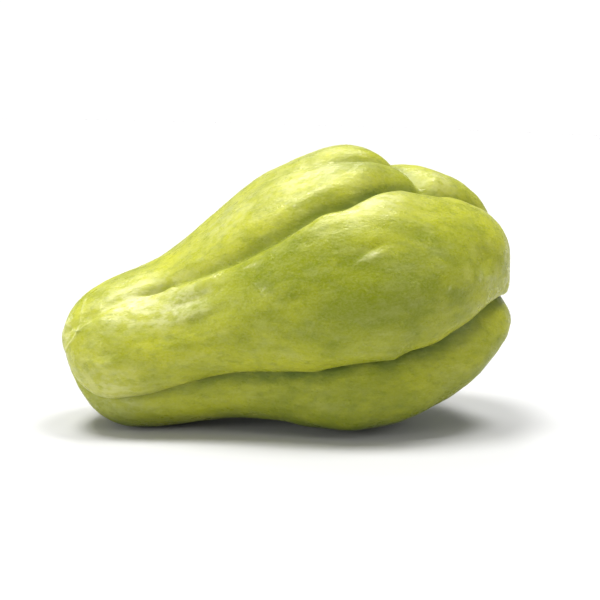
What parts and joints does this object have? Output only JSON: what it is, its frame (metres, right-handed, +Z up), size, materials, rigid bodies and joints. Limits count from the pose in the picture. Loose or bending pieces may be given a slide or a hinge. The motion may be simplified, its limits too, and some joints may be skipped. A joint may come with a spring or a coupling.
{
  "type": "chayote squash",
  "caption": "Whole pear-shaped chayote lying on its side, its skin folded into deep lengthwise lobes that meet in a mouth-like crease at the thick blossom end.",
  "frame": {"origin": "middle of the fruit's footprint box, on the surface that it rests on", "axes": "+Z up; +X along the fruit, from the narrow stem end to the thick blossom end; -Y is the side with the long open crease, the near side in the reference view"},
  "size_m": [0.1336, 0.0814, 0.082],
  "materials": {
    "chayote_skin": "satin"
  },
  "bodies": {
    "root": {"chayote": "chayote_skin"}
  },
  "joints": []
}
